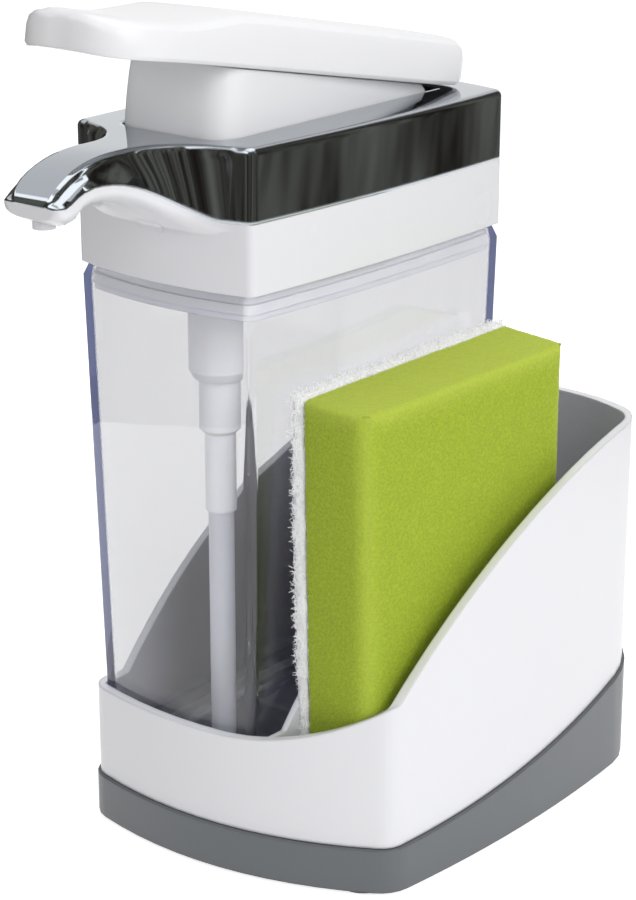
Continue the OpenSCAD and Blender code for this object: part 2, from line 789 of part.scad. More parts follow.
module delivery_valve() {
    color("#D9D6CE") placed() difference() {
        bore(piston_r - 0.3, piston_z0 + piston_t, piston_z0 + piston_t + 0.6);
        bore(stem_r, piston_z0 + piston_t - cut, piston_z0 + piston_t + cut);
    }
}

// Middle of the spring's wire at a number of curls from its lower end
spring_z0 = bore_z0 + spring_wire;
spring_z1 = piston_z0 - spring_wire;
function spring_at(c) = [spring_r * cos(360 * c), spring_r * sin(360 * c),
    spring_z0 + (spring_z1 - spring_z0) * c / spring_curls];

module return_spring() {
    rings = 8 * spring_curls;
    echo(spring_gap = (spring_z1 - spring_z0) / spring_curls - 2 * spring_wire);
    color("#C2C5C8") placed() skin([for (k = [0:rings]) let (c = k / 8, mid = spring_at(c))
        [for (s = [0:5]) let (a = 60 * s, r = spring_r + spring_wire * cos(a))
            [r * cos(360 * c), r * sin(360 * c), mid[2] - spring_wire * sin(a)]]]);
}

// Push lever, laid out flat about its hinge: u runs forward from the hinge and w up from it

lever_nose = hinge_y + lever_reach;
block_front = hinge_y - front_y - 1.5;
block_half_w = [13, 15.6];
block_round = 7;
block_wall = 2;
block_low = 1.6;
pad_lift = 0.7;
pad_base = cover_z1 - hinge_z + pad_lift;
block_top = pad_base + 4;
pad_step = 1.2;
lug_x = block_half_w[0] - block_wall;
lug_r = 4.5;
push_r = 3.5;
push_z = cap_z1 + seat_gap + push_r;
lever_screw_u = [24, 46];
lever_screw_r = 1.2;
pad_boss_r = 3;

// Plan of the block as [distance from the hinge, place across], drawn in by an inset
function block_outline(inset) = let (
        r0 = 1.5 + inset,
        r1 = block_front - inset,
        a = [r1, -(block_half_w[1] - inset)],
        b = [r1, block_half_w[1] - inset],
        c = block_round - inset / 2
    ) concat([[r0, -(block_half_w[0] - inset)]],
        [a - [c, 0]], rounded(a - [c, 0], a, a + [0, c], 6), [a + [0, c]],
        [b - [0, c]], rounded(b - [0, c], b, b - [c, 0], 6), [b - [c, 0]],
        [[r0, block_half_w[0] - inset]]);

// The block's plan swept about the hinge, so that it slides through its slot as the lever turns
module block_sweep(inset) {
    translate([0, hinge_y, hinge_z]) rotate([90, 0, -90]) rotate([0, 0, -20])
        rotate_extrude(angle = 70, $fn = 128) polygon(block_outline(inset));
}

module lever_place() {
    translate([0, hinge_y, hinge_z]) rotate([-lever_tilt, 0, 0]) children();
}

// A slab under a tilted plane at height w over the hinge, and above a level plane below it
module under_lever_plane(w, low) {
    reach = 2 * lever_nose;
    intersection() {
        lever_place() translate([-reach / 2, -reach, w - reach]) cube([reach, 2 * reach, reach]);
        translate([-reach / 2, hinge_y - reach, hinge_z - low]) cube([reach, 2 * reach, reach]);
    }
}

module lever_block() {
    color("#F3F3F5") placed() difference() {
        union() {
            intersection() {
                block_sweep(0);
                under_lever_plane(pad_base - loose_gap, block_low);
            }
            intersection() {
                block_sweep(pad_step);
                under_lever_plane(block_top, block_low);
            }
            for (side = [-1, 1]) translate([side * (lug_x + block_wall / 2), 0, 0])
                cross_bar(lug_r, block_wall / 2, hinge_y, hinge_z);
        }
        difference() {
            intersection() {
                block_sweep(pad_step + block_wall);
                under_lever_plane(block_top - block_wall, 2 * lug_r);
            }
            translate([-push_r, -push_r / 2, push_z]) cube([2 * push_r, push_r, lever_nose]);
            cross_bar(push_r, push_r, 0, push_z);
        }
        translate([-lug_x, hinge_y - lug_r - 1, hinge_z - 2 * lug_r])
            cube([2 * lug_x, 3 * lug_r, 4 * lug_r]);
        cross_bar(pin_r + run_gap, half_w, hinge_y, hinge_z);
        lever_place() for (u = lever_screw_u) translate([0, -u, 0])
            bore(lever_screw_r + 0.1, 0, 2 * block_top);
    }
}

// Half width of the pad, rounded at its nose and its heel
heel = 7;
nose_round = 25.5;
nose_power = 2.1;
heel_round = 9;
heel_power = 2.6;
thumb_l = 40;
thumb_blend = 22;
thumb_drop = 3.3;
function round_off(t, power) = pow(1 - pow(t, power), 1 / power);
function pad_half_w(u) = let (
        s = max(0, min(0.99, (u - lever_nose + nose_round) / nose_round)),
        t = max(0, min(0.97, (heel_round - heel - u) / heel_round))
    ) lever_half_w * round_off(s, nose_power) * round_off(t, heel_power);

// Height of the pad's upper face: it steps down to a thumb rest and rounds off at the nose and the heel
function pad_top(u) = let (
        s = max(0, min(1, (u - lever_nose + thumb_l) / thumb_blend)),
        n = max(0, min(1, (u - lever_nose + 3) / 3)),
        t = max(0, 3 - u) / 10
    ) pad_base + lever_depth - thumb_drop * s * s * (3 - 2 * s) - 2.6 * (1 - sqrt(1 - 0.96 * n * n))
        - 5.4 * (1 - sqrt(1 - 0.96 * t * t));

// Height of the pad's lower edge: it lifts behind the hinge so that it clears the cover at rest
function pad_low(u) = pad_base + max(0, 1 - u) * 0.22;

// Places of the pad's sections: at its heel, along its middle and round its nose
pad_stations = let (straight = lever_nose - nose_round) concat([-7, -6.4, -5, -3, 0],
    [for (k = [1:8]) straight * k / 8],
    [for (a = [9:9:54]) straight + nose_round * sin(a)],
    [for (back = [3, 2, 1.2, 0.6, 0.25]) lever_nose - back]);

// Half of a section through the pad, from the middle of its top down to its lower edge
function pad_half(u, inset, low) = let (
        b = max(pad_half_w(u) - inset, 1.2),
        h = pad_top(u) - inset,
        w = pad_low(u) - low,
        r = min(3.6, 0.3 * b)
    ) [[b * 0.3, h + 0.5], [b * 0.62, h + 0.35], [b - r, h], [b - r * 0.5, h - r * 0.12],
       [b - r * 0.13, h - r * 0.45], [b, h - r], [b, w + 0.8], [b - 0.6, w]];

// Place of a section in a skin that is drawn in by an inset, and further in at its nose
function pad_place(u, inset) =
    inset - heel + (u + heel) * (lever_nose + heel - 2.6 * inset) / (lever_nose + heel);

module pad_skin(inset, low) {
    skin([for (s = pad_stations) let (u = pad_place(s, inset))
        section_at(mirrored(pad_half(u, inset, low)), -u)]);
}

module lever_pad() {
    color("#F1F1F4") placed() lever_place() difference() {
        union() {
            difference() {
                pad_skin(0, 0);
                pad_skin(lever_wall, cut);
            }
            for (u = lever_screw_u) translate([0, -u, 0])
                bore(pad_boss_r, block_top, pad_top(u) - lever_wall / 2);
        }
        for (u = lever_screw_u) translate([0, -u, 0])
            bore(lever_screw_r, block_top - cut, pad_top(u) - lever_wall);
    }
}

module lever_screws() {
    head_h = 1.2;
    head_r = 2.3;
    head_w0 = block_top - block_wall - head_h;
    color("#B4B6B8") placed() lever_place() for (u = lever_screw_u) translate([0, -u, 0]) difference() {
        union() {
            bore(head_r, head_w0, head_w0 + head_h);
            bore(lever_screw_r, head_w0, pad_top(u) - lever_wall - loose_gap);
        }
        for (turn = [0, 90]) rotate([0, 0, turn]) translate([-head_r / 2, -0.25, head_w0 - cut])
            cube([head_r, 0.5, cut + head_h / 2]);
    }
}

module hinge_pin() {
    color("#B9BCC0") placed() cross_bar(pin_r, lug_x + block_wall, hinge_y, hinge_z);
}

// Sponge

sponge_x0 = divider_x + divider_t + loose_gap;
sponge_y0 = front_y + 11.1;
foam_round = 4.5;
scour_round = 0.45 * scour_t;

module slab(x0, x1, y0, y1, r) {
    translate([0, 0, sponge_z0]) linear_extrude(sponge_h) union() {
        translate([x0, y0 + r]) square([x1 - x0, y1 - y0 - 2 * r]);
        translate([x0, y0]) square([x1 - x0 - r, y1 - y0]);
        for (y = [y0 + r, y1 - r]) translate([x1 - r, y]) circle(r = r);
    }
}

module sponge_foam() {
    x0 = sponge_x0 + scour_t;
    color("#A5C032") placed() slab(x0, x0 + foam_t, sponge_y0, sponge_y0 + sponge_d, foam_round);
}

module sponge_scourer() {
    color("#E8EBE6") placed() mirror([1, 0, 0]) translate([-2 * sponge_x0 - scour_t, 0, 0])
        slab(sponge_x0, sponge_x0 + scour_t, sponge_y0, sponge_y0 + sponge_d, scour_round);
}

base_skirt();
base_feet();
base_screws();
caddy_shell();
bottle();
bottle_gasket();
collar();
chrome_cover();
cover_screws();
spout_nozzle();
outlet_hose();
pump_barrel();
barrel_washer();
gland_nut();
stem_wiper();
suction_valve();
dip_tube();
plunger();
piston_seal();
delivery_valve();
return_spring();
lever_block();
lever_pad();
lever_screws();
hinge_pin();
sponge_foam();
sponge_scourer();
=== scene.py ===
# Soap pump caddy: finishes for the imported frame, the sponge's two soft layers, and the stage.
import math

import bmesh
import bpy
from bpy.props import FloatProperty, IntProperty, PointerProperty, StringProperty
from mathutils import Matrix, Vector, noise


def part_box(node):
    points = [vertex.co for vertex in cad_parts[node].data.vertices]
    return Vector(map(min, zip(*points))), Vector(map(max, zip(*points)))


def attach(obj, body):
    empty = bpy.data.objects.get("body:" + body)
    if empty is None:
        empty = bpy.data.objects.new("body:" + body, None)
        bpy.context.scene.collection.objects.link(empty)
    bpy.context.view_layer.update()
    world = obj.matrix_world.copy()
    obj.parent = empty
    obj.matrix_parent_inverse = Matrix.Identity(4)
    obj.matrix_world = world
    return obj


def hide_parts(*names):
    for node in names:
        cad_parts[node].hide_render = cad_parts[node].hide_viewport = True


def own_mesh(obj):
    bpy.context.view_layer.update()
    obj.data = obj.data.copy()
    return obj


bl_info = {
    "name": "Soap pump caddy",
    "version": (1, 0, 0),
    "blender": (4, 5, 0),
    "location": "View3D > Sidebar > Soap Caddy",
    "description": "Dresses a lever-topped soap pump, its caddy and its sponge",
    "category": "Object",
}

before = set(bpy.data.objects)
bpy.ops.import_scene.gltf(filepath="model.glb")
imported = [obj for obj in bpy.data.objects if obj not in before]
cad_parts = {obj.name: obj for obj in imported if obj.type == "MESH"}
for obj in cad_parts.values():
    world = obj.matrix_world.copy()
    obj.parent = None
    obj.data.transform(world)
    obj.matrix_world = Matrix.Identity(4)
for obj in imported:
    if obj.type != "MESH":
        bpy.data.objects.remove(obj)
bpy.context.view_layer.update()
FOAM_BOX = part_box("sponge_foam")
SCOURER_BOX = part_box("sponge_scourer")
MM = 0.001

# The pump's axis
PUMP_X = -14.1 * MM

# The lever's nose: its length, and the superellipse powers of the solid and of the photograph's squarer outline
NOSE_LENGTH = 25.5 * MM
SOLID_NOSE_POWER = 2.1
SQUARER_NOSE_POWER = 3.4

# Web in the corner between the collar's front wall and the spout's underside, as (y, z) points in millimetres
WEB_HALF_WIDTH = 3.4 * MM
WEB_SECTION = ((-46.3, 147.4), (-46.86, 147.4), (-46.92, 148.5), (-47.75, 149.3), (-48.3, 149.75),
               (-47.7, 150.2), (-46.3, 149.6))

# The sponge: rounding where the foam is bonded to the scouring layer, and how far its front edge stands and leans out
BOND = 0.3 * MM
STAND, LEAN = 0.5 * MM, 1.8 * MM
# The wall beside the scouring layer ends in an arc over the caddy's side, as (radius, y, z) of its circle
DIVIDER_ARC = (145 * MM, 75.0 * MM, -55.5 * MM)

# The camera: what it looks at, its turn from the front, its rise, and its distance
CAMERA_TARGET = Vector((11.40, -22.16, 97.28)) * MM
CAMERA_TURN, CAMERA_RISE = math.radians(39.82), math.radians(18.86)
CAMERA_DISTANCE = 530.8 * MM

# The stage: half the floor's width, what it adds for the camera, the sky's light, and how far off the screens stand
FLOOR_REACH = 6.0
FLOOR_GLOW = 0.78
WORLD_LIGHT = 0.31
SCREEN_RADIUS = 0.34


# --- Colour and node helpers ---

def linear(text):
    """Linear RGBA of an sRGB hex colour."""
    parts = [int(text.lstrip("#")[i:i + 2], 16) / 255 for i in (0, 2, 4)]
    return (*(c / 12.92 if c <= 0.04045 else ((c + 0.055) / 1.055) ** 2.4 for c in parts), 1.0)


def shaded(colour, factor):
    """The linear RGBA of an sRGB hex colour, made darker or paler."""
    return [min(1.0, c * factor) for c in linear(colour)[:3]] + [1.0]


def add(tree, kind, settings=None, links=None):
    """A new node: settings are attributes or input values, links are input names with what feeds them."""
    node = tree.nodes.new(kind)
    for key, value in (settings or {}).items():
        if isinstance(key, str) and hasattr(node, key):
            setattr(node, key, value)
        else:
            node.inputs[key].default_value = value
    for key, source in (links or {}).items():
        tree.links.new(source, node.inputs[key])
    return node


def new_material(name):
    """A material with an empty tree, its output, and Object coordinates."""
    material = bpy.data.materials.new(name)
    material.use_nodes = True
    tree = material.node_tree
    tree.nodes.clear()
    output = add(tree, "ShaderNodeOutputMaterial")
    place = add(tree, "ShaderNodeTexCoord").outputs["Object"]
    return material, tree, output, place


def per_metre(size_mm):
    """Texture scale that repeats once in a size given in millimetres."""
    return 1 / (size_mm * MM)


def tinted(tree, place, colour, size_mm, share):
    """A colour that drifts a little lighter and darker over patches of a size."""
    patches = add(tree, "ShaderNodeTexNoise", {"Scale": per_metre(size_mm), "Detail": 2.0}, {"Vector": place})
    mix = add(tree, "ShaderNodeMix", {"data_type": "RGBA"}, {0: patches.outputs["Fac"]})
    mix.inputs[6].default_value = shaded(colour, 1 - share)
    mix.inputs[7].default_value = shaded(colour, 1 + share)
    return mix.outputs[2]


def grained(tree, place, size_mm, depth_mm, edge_mm):
    """A moulded surface's fine grain, over edges that are rounded off by a radius."""
    rounded = add(tree, "ShaderNodeBevel", {"samples": 4, "Radius": edge_mm * MM})
    grain = add(tree, "ShaderNodeTexNoise", {"Scale": per_metre(size_mm), "Detail": 3.0}, {"Vector": place})
    bump = add(tree, "ShaderNodeBump", {"Strength": 0.6, "Distance": depth_mm * MM},
               {"Height": grain.outputs["Fac"], "Normal": rounded.outputs["Normal"]})
    return bump.outputs["Normal"]


def seen_directly(tree):
    """1 for what the camera, a mirror or the clear bottle sees, 0 for what only lights something."""
    ray = add(tree, "ShaderNodeLightPath").outputs
    through = add(tree, "ShaderNodeMath", {"operation": "MAXIMUM"},
                  {0: ray["Is Camera Ray"], 1: ray["Is Transmission Ray"]})
    return add(tree, "ShaderNodeMath", {"operation": "MAXIMUM"},
               {0: through.outputs["Value"], 1: ray["Is Glossy Ray"]}).outputs["Value"]


# --- Materials ---

def moulded_abs(name, colour, roughness, grain_mm, depth_mm, edge_mm, hollow_shade=1.0):
    """ABS from a polished or lightly grained mould: an even colour under a soft gloss.

    The last argument is what is left of the colour in painted shade, where a hollow hides most of the sky.
    """
    material, tree, output, place = new_material(name)
    drift = add(tree, "ShaderNodeTexNoise", {"Scale": per_metre(30), "Detail": 2.0}, {"Vector": place})
    rough = add(tree, "ShaderNodeMapRange", {"To Min": roughness - 0.04, "To Max": roughness + 0.04},
                {"Value": drift.outputs["Fac"]})
    # Painted shade: the colour is darkened where ambient occlusion finds a hollow
    open_sky = add(tree, "ShaderNodeAmbientOcclusion", {"samples": 8, "Distance": 90 * MM})
    painted_shade = add(tree, "ShaderNodeMapRange", {"From Min": 0.12, "From Max": 0.5, "To Min": hollow_shade, "To Max": 1.0},
              {"Value": open_sky.outputs["AO"]})
    tone = add(tree, "ShaderNodeVectorMath", {"operation": "SCALE"},
               {0: tinted(tree, place, colour, 40, 0.012), "Scale": painted_shade.outputs["Result"]})
    shader = add(tree, "ShaderNodeBsdfPrincipled", {"IOR": 1.53, "Coat Weight": 0.12, "Coat Roughness": 0.12},
                 {"Base Color": tone.outputs["Vector"], "Roughness": rough.outputs["Result"],
                  "Normal": grained(tree, place, grain_mm, depth_mm, edge_mm)})
    tree.links.new(shader.outputs["BSDF"], output.inputs["Surface"])
    return material


def clear_styrene(name, surface, inside, edge, density):
    """Clear moulded styrene: bare face on, blue-violet where a wall is seen along its length.

    Light that the wall would trap leaks out tinted, so that edges don't turn black, and shadows stay pale.
    """
    material, tree, output, place = new_material(name)
    ripple = add(tree, "ShaderNodeTexNoise", {"Scale": per_metre(35), "Detail": 1.0}, {"Vector": place})
    bump = add(tree, "ShaderNodeBump", {"Strength": 0.3, "Distance": 0.05 * MM},
               {"Height": ripple.outputs["Fac"]})
    shader = add(tree, "ShaderNodeBsdfPrincipled",
                 {"Base Color": linear(surface), "Transmission Weight": 1.0, "IOR": 1.45, "Roughness": 0.02},
                 {"Normal": bump.outputs["Normal"]})
    tint = add(tree, "ShaderNodeVolumeAbsorption", {"Color": linear(inside), "Density": density})
    slant = add(tree, "ShaderNodeLayerWeight", {"Blend": 0.5})
    side = add(tree, "ShaderNodeNewGeometry")
    trapped = add(tree, "ShaderNodeMapRange", {"From Min": 0.24, "From Max": 0.34, "To Max": 0.6},
                  {"Value": slant.outputs["Facing"]})
    leak = add(tree, "ShaderNodeMath", {"operation": "MULTIPLY"},
               {0: trapped.outputs["Result"], 1: side.outputs["Backfacing"]})
    ray = add(tree, "ShaderNodeLightPath")
    share = add(tree, "ShaderNodeMath", {"operation": "MAXIMUM"},
                {0: ray.outputs["Is Shadow Ray"], 1: leak.outputs["Value"]})
    film = add(tree, "ShaderNodeMix", {"data_type": "RGBA"}, {0: ray.outputs["Is Shadow Ray"]})
    film.inputs[6].default_value = linear(edge)
    film.inputs[7].default_value = linear("#F2F2F5")
    clear = add(tree, "ShaderNodeBsdfTransparent", links={"Color": film.outputs[2]})
    both = add(tree, "ShaderNodeMixShader", links={0: share.outputs["Value"], 1: shader.outputs["BSDF"],
                                                   2: clear.outputs["BSDF"]})
    tree.links.new(both.outputs["Shader"], output.inputs["Surface"])
    tree.links.new(tint.outputs["Volume"], output.inputs["Volume"])
    return material


def bright_chrome(name, colour):
    """Decorative chrome plated over polished ABS: a dark mirror with the faint swell of the moulding under it."""
    material, tree, output, place = new_material(name)
    swell = add(tree, "ShaderNodeTexNoise", {"Scale": per_metre(14), "Detail": 1.0}, {"Vector": place})
    # Edges are rounder on the head than towards the spout's tip
    parts = add(tree, "ShaderNodeSeparateXYZ", links={"Vector": place})
    edge = add(tree, "ShaderNodeMapRange", {"From Min": -75 * MM, "From Max": -52 * MM, "To Min": 0.6 * MM,
                                            "To Max": 1.3 * MM}, {"Value": parts.outputs["Y"]})
    rounded = add(tree, "ShaderNodeBevel", {"samples": 8}, {"Radius": edge.outputs["Result"]})
    bump = add(tree, "ShaderNodeBump", {"Strength": 0.25, "Distance": 0.03 * MM},
               {"Height": swell.outputs["Fac"], "Normal": rounded.outputs["Normal"]})
    shader = add(tree, "ShaderNodeBsdfPrincipled",
                 {"Metallic": 1.0, "Base Color": linear(colour), "Roughness": 0.05},
                 {"Normal": bump.outputs["Normal"]})
    tree.links.new(shader.outputs["BSDF"], output.inputs["Surface"])
    return material


def milky_polypropylene(name, colour, clearness):
    """Natural polypropylene: a waxy, slightly see-through white."""
    material, tree, output, place = new_material(name)
    shader = add(tree, "ShaderNodeBsdfPrincipled",
                 {"Roughness": 0.38, "IOR": 1.49, "Transmission Weight": clearness,
                  "Subsurface Weight": 0.15, "Subsurface Scale": 0.6 * MM},
                 {"Base Color": tinted(tree, place, colour, 12, 0.02),
                  "Normal": grained(tree, place, 0.5, 0.01, 0.25)})
    tree.links.new(shader.outputs["BSDF"], output.inputs["Surface"])
    return material


def soft_rubber(name, colour):
    """Moulded rubber: dull, with a fine dusty grain."""
    material, tree, output, place = new_material(name)
    shader = add(tree, "ShaderNodeBsdfPrincipled",
                 {"Roughness": 0.72, "IOR": 1.5, "Sheen Weight": 0.15, "Sheen Roughness": 0.5},
                 {"Base Color": tinted(tree, place, colour, 5, 0.05),
                  "Normal": grained(tree, place, 0.35, 0.02, 0.3)})
    tree.links.new(shader.outputs["BSDF"], output.inputs["Surface"])
    return material


def zinc_steel(name, colour):
    """Zinc-plated steel: a pale satin metal with faint drawing marks."""
    material, tree, output, place = new_material(name)
    marks = add(tree, "ShaderNodeTexNoise", {"Scale": per_metre(0.6), "Detail": 4.0}, {"Vector": place})
    rough = add(tree, "ShaderNodeMapRange", {"To Min": 0.24, "To Max": 0.42}, {"Value": marks.outputs["Fac"]})
    shader = add(tree, "ShaderNodeBsdfPrincipled", {"Metallic": 1.0, "Base Color": linear(colour)},
                 {"Roughness": rough.outputs["Result"], "Normal": grained(tree, place, 0.4, 0.005, 0.12)})
    tree.links.new(shader.outputs["BSDF"], output.inputs["Surface"])
    return material


def open_cell_foam(name, colour, pore_mm):
    """Open-cell polyurethane foam: cut cells show as dark pits between bright thin walls."""
    material, tree, output, place = new_material(name)
    wander = add(tree, "ShaderNodeTexNoise", {"Scale": per_metre(2.2 * pore_mm), "Detail": 2.0}, {"Vector": place})
    shift = add(tree, "ShaderNodeVectorMath", {"operation": "SCALE", "Scale": 0.5 * pore_mm * MM},
                {0: wander.outputs["Color"]})
    moved = add(tree, "ShaderNodeVectorMath", {"operation": "ADD"}, {0: place, 1: shift.outputs["Vector"]})
    cells = add(tree, "ShaderNodeTexVoronoi", {"Scale": per_metre(pore_mm), "Randomness": 1.0},
                {"Vector": moved.outputs["Vector"]})
    fine = add(tree, "ShaderNodeTexVoronoi", {"Scale": per_metre(0.55 * pore_mm), "Randomness": 1.0},
               {"Vector": moved.outputs["Vector"]})
    both = add(tree, "ShaderNodeMath", {"operation": "MULTIPLY_ADD", 1: 0.55},
               {0: fine.outputs["Distance"], 2: cells.outputs["Distance"]})
    grit = add(tree, "ShaderNodeTexNoise", {"Scale": per_metre(0.9 * pore_mm), "Detail": 4.0, "Roughness": 0.8},
               {"Vector": place})
    part = add(tree, "ShaderNodeMath", {"operation": "MULTIPLY", 1: 0.5}, {0: both.outputs["Value"]})
    mottle = add(tree, "ShaderNodeMath", {"operation": "MULTIPLY_ADD", 1: 0.6},
                 {0: grit.outputs["Fac"], 2: part.outputs["Value"]})
    pits = add(tree, "ShaderNodeValToRGB", links={"Fac": mottle.outputs["Value"]})
    pits.color_ramp.elements[0].position = 0.42
    pits.color_ramp.elements[1].position = 0.88
    pits.color_ramp.elements[0].color = shaded(colour, 0.78)
    pits.color_ramp.elements[1].color = shaded(colour, 1.12)
    # Painted light: the green is mixed paler along the foam's free edges and over its whole top face
    painted_light = add(tree, "ShaderNodeAttribute", {"attribute_name": "painted_edge_light"})
    share = add(tree, "ShaderNodeMath", {"operation": "MULTIPLY", 1: 0.55}, {0: painted_light.outputs["Fac"]})
    tone = add(tree, "ShaderNodeMix", {"data_type": "RGBA"}, {0: share.outputs["Value"]})
    tree.links.new(pits.outputs["Color"], tone.inputs[6])
    tone.inputs[7].default_value = linear("#C4D452")
    bump = add(tree, "ShaderNodeBump", {"Strength": 0.5, "Distance": 0.3 * pore_mm * MM},
               {"Height": mottle.outputs["Value"]})
    shader = add(tree, "ShaderNodeBsdfPrincipled",
                 {"Roughness": 0.85, "Subsurface Weight": 0.15, "Subsurface Scale": 1.0 * MM,
                  "Subsurface Radius": (0.8, 1.0, 0.15), "Sheen Weight": 0.5, "Sheen Roughness": 0.5,
                  "Sheen Tint": linear("#F0F27E")},
                 {"Base Color": tone.outputs[2], "Normal": bump.outputs["Normal"]})
    tree.links.new(shader.outputs["BSDF"], output.inputs["Surface"])
    return material


def matted_nylon(name, colour):
    """Matted nylon fibre: glassy white threads that catch the light one by one."""
    material, tree, output, place = new_material(name)
    threads = add(tree, "ShaderNodeTexNoise", {"Scale": per_metre(0.8), "Detail": 5.0, "Roughness": 0.7},
                  {"Vector": place})
    tone = add(tree, "ShaderNodeValToRGB", links={"Fac": threads.outputs["Fac"]})
    tone.color_ramp.elements[0].position = 0.32
    tone.color_ramp.elements[1].position = 0.6
    tone.color_ramp.elements[0].color = shaded(colour, 0.84)
    tone.color_ramp.elements[1].color = linear(colour)
    bump = add(tree, "ShaderNodeBump", {"Strength": 0.8, "Distance": 0.3 * MM}, {"Height": threads.outputs["Fac"]})
    shader = add(tree, "ShaderNodeBsdfPrincipled",
                 {"Roughness": 0.45, "Subsurface Weight": 0.25, "Subsurface Scale": 0.8 * MM,
                  "Sheen Weight": 0.3, "Sheen Roughness": 0.4},
                 {"Base Color": tone.outputs["Color"], "Normal": bump.outputs["Normal"]})
    tree.links.new(shader.outputs["BSDF"], output.inputs["Surface"])
    return material


def nylon_thread(name, colour):
    """Drawn nylon thread: thin enough for light to come through it, so that loose ends look white."""
    material, tree, output, place = new_material(name)
    body = add(tree, "ShaderNodeBsdfPrincipled", {"Base Color": linear(colour), "Roughness": 0.4})
    glow = add(tree, "ShaderNodeBsdfTranslucent", {"Color": linear(colour)})
    both = add(tree, "ShaderNodeMixShader", {0: 0.35}, {1: body.outputs["BSDF"], 2: glow.outputs["BSDF"]})
    tree.links.new(both.outputs["Shader"], output.inputs["Surface"])
    return material


def dress(material, *nodes):
    """Gives CAD nodes a material, their mesh unchanged."""
    for name in nodes:
        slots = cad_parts[name].data.materials
        slots.clear()
        slots.append(material)


def smoothed(material, body, slot, *nodes):
    """Stands a merged and smooth-shaded copy in for CAD nodes, whose curved walls would show as flats."""
    for name in nodes:
        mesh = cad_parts[name].data.copy()
        if "custom_normal" in mesh.attributes:
            mesh.attributes.remove(mesh.attributes["custom_normal"])
        shape = bmesh.new()
        shape.from_mesh(mesh)
        bmesh.ops.remove_doubles(shape, verts=shape.verts, dist=0.002 * MM)
        shape.to_mesh(mesh)
        shape.free()
        mesh.shade_smooth()
        mesh.set_sharp_from_angle(angle=math.radians(32))
        piece = mesh_piece(name + "_smooth", mesh, material)
        weigh = piece.modifiers.new("Normals", "WEIGHTED_NORMAL")
        weigh.keep_sharp = True
        weigh.weight = 80
        bpy.context.view_layer.update()
        piece.data = bpy.data.meshes.new_from_object(piece.evaluated_get(bpy.context.evaluated_depsgraph_get()))
        piece.modifiers.clear()
        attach(piece, body)
        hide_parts(name)


def mesh_piece(name, mesh, material):
    """A piece in the scene from a mesh that is already in place."""
    piece = bpy.data.objects.new(name, mesh)
    bpy.context.scene.collection.objects.link(piece)
    mesh.materials.clear()
    mesh.materials.append(material)
    return piece


# --- Settings ---

class SoapCaddyFinish(bpy.types.PropertyGroup):
    white: StringProperty(name="White plastic", description="sRGB colour of the white mouldings", default="#F0F0F4")
    grey: StringProperty(name="Grey base", description="sRGB colour of the base", default="#62666A")
    green: StringProperty(name="Foam", description="sRGB colour of the foam", default="#A0B626")
    chrome: StringProperty(name="Chrome", description="sRGB colour of the plating", default="#A9AEB4")


class SoapCaddySponge(bpy.types.PropertyGroup):
    step: FloatProperty(name="Mesh step", description="Distance between points on the foam", default=0.7 * MM,
                        min=0.4 * MM, max=4 * MM, unit="LENGTH")
    pore: FloatProperty(name="Pore", description="Size of a pore, drawn a little coarse so that it shows",
                        default=0.62, min=0.4, max=2.0)
    pit: FloatProperty(name="Pit depth", description="Depth of the pits in the foam's surface", default=0.22 * MM,
                       min=0.0, max=0.6 * MM, unit="LENGTH")
    edge: FloatProperty(name="Edge", description="Rounding of the foam's cut edges", default=1.8 * MM,
                        min=0.2 * MM, max=3 * MM, unit="LENGTH")
    corner: FloatProperty(name="Corner", description="Rounding of the foam's upright corners", default=4.5 * MM,
                          min=1 * MM, max=8 * MM, unit="LENGTH")
    fibres: IntProperty(name="Fibres", description="Fibres to a square metre at the edges", default=5200000,
                        min=10000, max=6000000)
    fibre_length: FloatProperty(name="Fibre length", description="Length of a loose fibre", default=2.8 * MM,
                                min=0.5 * MM, max=5 * MM, unit="LENGTH")
    fibre_radius: FloatProperty(name="Fibre radius", description="Radius of a fibre, drawn coarse so that it shows",
                                default=0.065 * MM, min=0.02 * MM, max=0.2 * MM, unit="LENGTH")


class SoapCaddyStage(bpy.types.PropertyGroup):
    floor: StringProperty(name="Floor", description="sRGB colour of the floor", default="#F2F2F2")
    key: FloatProperty(name="Key light", description="Power of the large light on the right", default=8.2,
                       min=0.0, max=60.0, unit="POWER")
    top: FloatProperty(name="Top light", description="Power of the overhead light", default=3.0, min=0.0,
                       max=60.0, unit="POWER")
    fill: FloatProperty(name="Fill light", description="Power of the light on the left", default=1.2, min=0.0,
                        max=60.0, unit="POWER")
    lens: FloatProperty(name="Lens", description="Focal length of the camera", default=96.55, min=20.0,
                        max=300.0, unit="CAMERA")


# --- Frame finishes ---

def spout_web(material):
    """A closed bar across the pump's centre plane that fills the corner under the spout."""
    shape = bmesh.new()
    rings = [[shape.verts.new((PUMP_X + side, y * MM, z * MM)) for y, z in WEB_SECTION]
             for side in (-WEB_HALF_WIDTH, WEB_HALF_WIDTH)]
    count = len(WEB_SECTION)
    for i in range(count):
        j = (i + 1) % count
        shape.faces.new((rings[0][i], rings[0][j], rings[1][j], rings[1][i]))
    shape.faces.new(list(reversed(rings[0])))
    shape.faces.new(rings[1])
    bmesh.ops.recalc_face_normals(shape, faces=shape.faces)
    mesh = bpy.data.meshes.new("spout_web")
    shape.to_mesh(mesh)
    shape.free()
    return mesh_piece("spout_web", mesh, material)


def square_nose(piece, centre, half):
    """Fills out the corners of the lever's round nose, inside the box that it has."""
    before, after = SOLID_NOSE_POWER, SQUARER_NOSE_POWER
    for v in piece.data.vertices:
        across, ahead = (v.co.x - centre[0]) / half[0], (centre[1] - v.co.y) / half[1]
        if ahead <= 0:
            continue
        span = math.hypot(across, ahead)
        flat = [abs(across) / span, ahead / span]
        grow = (sum(f ** before for f in flat) ** (1 / before)) / (sum(f ** after for f in flat) ** (1 / after))
        v.co.x = centre[0] + across * grow * half[0]
        v.co.y = centre[1] - ahead * grow * half[1]


